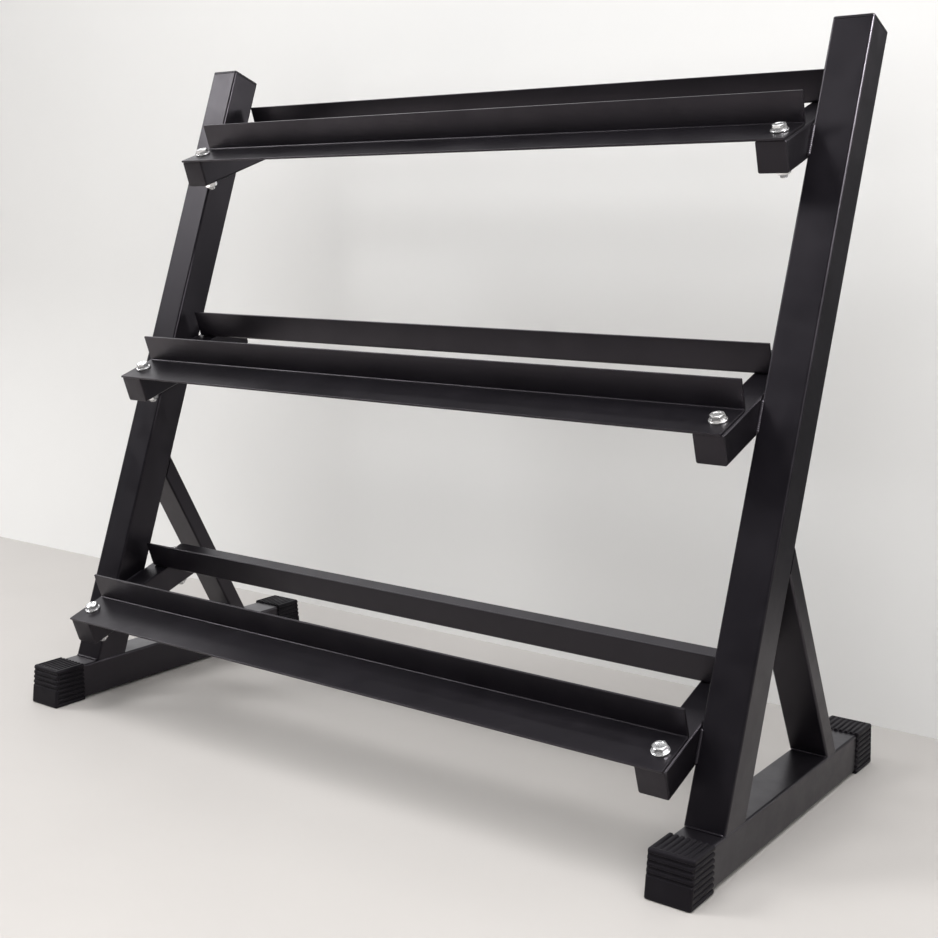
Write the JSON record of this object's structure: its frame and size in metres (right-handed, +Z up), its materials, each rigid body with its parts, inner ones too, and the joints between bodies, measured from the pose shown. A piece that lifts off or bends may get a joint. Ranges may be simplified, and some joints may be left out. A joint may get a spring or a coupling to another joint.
{
  "type": "dumbbell rack",
  "caption": "Free-standing tiered dumbbell rack: welded square-tube side frames that lean back, bolted steel angle rails, ribbed plastic foot caps.",
  "frame": {"origin": "on the floor, midway between the side frames and midway between the front and rear foot caps", "axes": "+X along the shelves, from the left side frame to the right one seen from the front; +Y from the front to the back; +Z up"},
  "size_m": [1.086, 0.522, 0.9429],
  "materials": {
    "powder_coat": "satin black powder coat with a fine orange peel",
    "cap_plastic": "moulded black polyethylene, matt, ribbed on the foot caps",
    "zinc_plate": "bright zinc-plated steel fasteners"
  },
  "bodies": {
    "root": {"arm_bottom_left": "powder_coat", "arm_bottom_right": "powder_coat", "arm_middle_left": "powder_coat", "arm_middle_right": "powder_coat", "arm_plug_front_bottom_left": "cap_plastic", "arm_plug_front_bottom_right": "cap_plastic", "arm_plug_front_middle_left": "cap_plastic", "arm_plug_front_middle_right": "cap_plastic", "arm_plug_front_top_left": "cap_plastic", "arm_plug_front_top_right": "cap_plastic", "arm_plug_rear_bottom_left": "cap_plastic", "arm_plug_rear_bottom_right": "cap_plastic", "arm_plug_rear_middle_left": "cap_plastic", "arm_plug_rear_middle_right": "cap_plastic", "arm_plug_rear_top_left": "cap_plastic", "arm_plug_rear_top_right": "cap_plastic", "arm_top_left": "powder_coat", "arm_top_right": "powder_coat", "base_tube_left": "powder_coat", "base_tube_right": "powder_coat", "bolt_front_bottom_left": "zinc_plate", "bolt_front_bottom_right": "zinc_plate", "bolt_front_middle_left": "zinc_plate", "bolt_front_middle_right": "zinc_plate", "bolt_front_top_left": "zinc_plate", "bolt_front_top_right": "zinc_plate", "bolt_rear_bottom_left": "zinc_plate", "bolt_rear_bottom_right": "zinc_plate", "bolt_rear_middle_left": "zinc_plate", "bolt_rear_middle_right": "zinc_plate", "bolt_rear_top_left": "zinc_plate", "bolt_rear_top_right": "zinc_plate", "foot_cap_front_left": "cap_plastic", "foot_cap_front_right": "cap_plastic", "foot_cap_rear_left": "cap_plastic", "foot_cap_rear_right": "cap_plastic", "front_rail_bottom": "powder_coat", "front_rail_middle": "powder_coat", "front_rail_top": "powder_coat", "nut_front_bottom_left": "zinc_plate", "nut_front_bottom_right": "zinc_plate", "nut_front_middle_left": "zinc_plate", "nut_front_middle_right": "zinc_plate", "nut_front_top_left": "zinc_plate", "nut_front_top_right": "zinc_plate", "nut_rear_bottom_left": "zinc_plate", "nut_rear_bottom_right": "zinc_plate", "nut_rear_middle_left": "zinc_plate", "nut_rear_middle_right": "zinc_plate", "nut_rear_top_left": "zinc_plate", "nut_rear_top_right": "zinc_plate", "rear_brace_left": "powder_coat", "rear_brace_right": "powder_coat", "rear_rail_bottom": "powder_coat", "rear_rail_middle": "powder_coat", "rear_rail_top": "powder_coat", "upright_left": "powder_coat", "upright_plug_left": "cap_plastic", "upright_plug_right": "cap_plastic", "upright_right": "powder_coat"}
  },
  "joints": []
}
